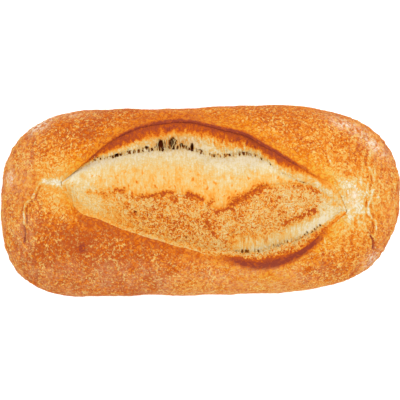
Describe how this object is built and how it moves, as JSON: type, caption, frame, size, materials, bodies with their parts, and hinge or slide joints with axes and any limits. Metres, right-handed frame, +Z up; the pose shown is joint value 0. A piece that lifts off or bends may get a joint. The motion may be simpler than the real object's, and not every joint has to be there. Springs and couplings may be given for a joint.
{
  "type": "sourdough batard",
  "caption": "Long oval white sourdough loaf with a flat base and one long slash burst open along its top, showing an ear and pale crumb.",
  "frame": {"origin": "middle of the flat base that the loaf rests on", "axes": "+Z up, +X along the loaf, +Y towards the ear side of the slash"},
  "size_m": [0.28, 0.1348, 0.0847],
  "materials": {
    "baked_crust": "golden to red-brown baked crust, satin, with fine blisters; the burst slash shows cream to toasted crumb"
  },
  "bodies": {
    "root": {"batard_loaf": "baked_crust"}
  },
  "joints": []
}
